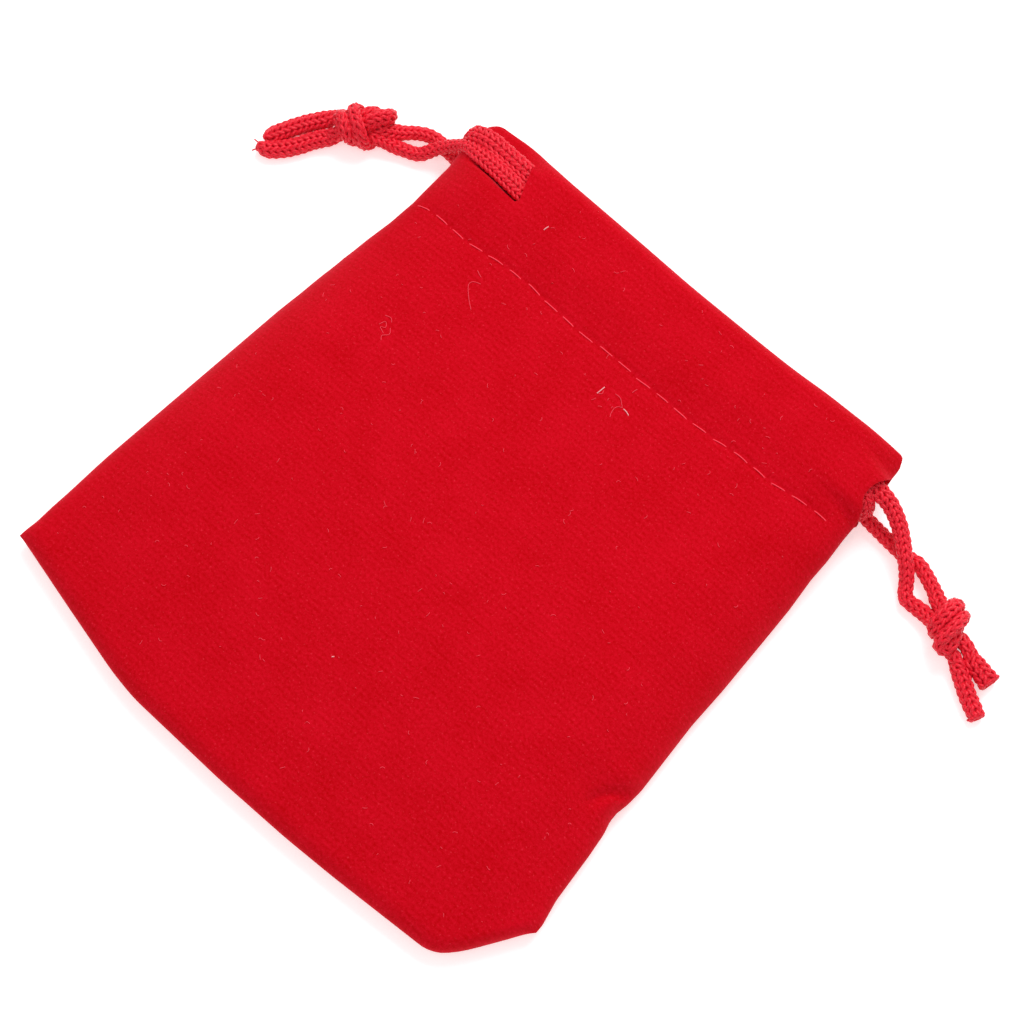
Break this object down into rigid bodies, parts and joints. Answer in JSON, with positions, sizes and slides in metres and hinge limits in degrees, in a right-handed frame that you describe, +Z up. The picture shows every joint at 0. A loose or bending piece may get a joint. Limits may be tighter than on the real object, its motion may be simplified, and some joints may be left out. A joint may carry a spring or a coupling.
{
  "type": "drawstring gift pouch",
  "caption": "Small red velvet gift pouch lying flat, with a stitched hem casing and two knitted drawstrings that leave it on opposite sides and end in knots.",
  "frame": {"origin": "centre of the pouch on the surface that it lies on", "axes": "+X across the mouth to the right cord, +Y from the bottom seam to the mouth, +Z up from the surface"},
  "size_m": [0.1638, 0.118, 0.0124],
  "materials": {
    "velvet": "short-pile velvet, soft sheen",
    "velvet_inside": "matt woven back of the velvet",
    "cord": "knitted polyester cord, slightly shiny",
    "thread": "polyester sewing thread"
  },
  "bodies": {
    "bag": {"front_panel": "velvet", "back_panel": "velvet", "left_seam_allowance": "velvet_inside", "right_seam_allowance": "velvet_inside", "bottom_seam_allowance": "velvet_inside", "left_seam_stitches": "thread", "right_seam_stitches": "thread", "bottom_seam_stitches": "thread", "front_casing_left": "velvet", "front_casing_right": "velvet", "back_casing_left": "velvet", "back_casing_right": "velvet", "front_hem_stitches": "thread", "back_hem_stitches": "thread"},
    "left_cord": {"left_drawstring": "cord", "left_lead_front": "cord", "left_lead_back": "cord", "left_knot": "cord", "left_tail_upper": "cord", "left_tail_lower": "cord", "right_casing_end": "velvet", "right_end_stitches": "thread"},
    "right_cord": {"right_drawstring": "cord", "right_lead_front": "cord", "right_lead_back": "cord", "right_knot": "cord", "right_tail_outer": "cord", "right_tail_inner": "cord", "left_casing_end": "velvet", "left_end_stitches": "thread"}
  },
  "joints": [
    {"name": "left_pull", "type": "slide", "parent": "bag", "child": "left_cord", "axis": [-0.9993, 0.0375, 0], "range_m": [0, 0.02], "deforming": ["front_casing_right", "back_casing_right"]},
    {"name": "right_pull", "type": "slide", "parent": "bag", "child": "right_cord", "axis": [0.9993, -0.0375, 0], "range_m": [0, 0.02], "deforming": ["front_casing_left", "back_casing_left"]}
  ]
}
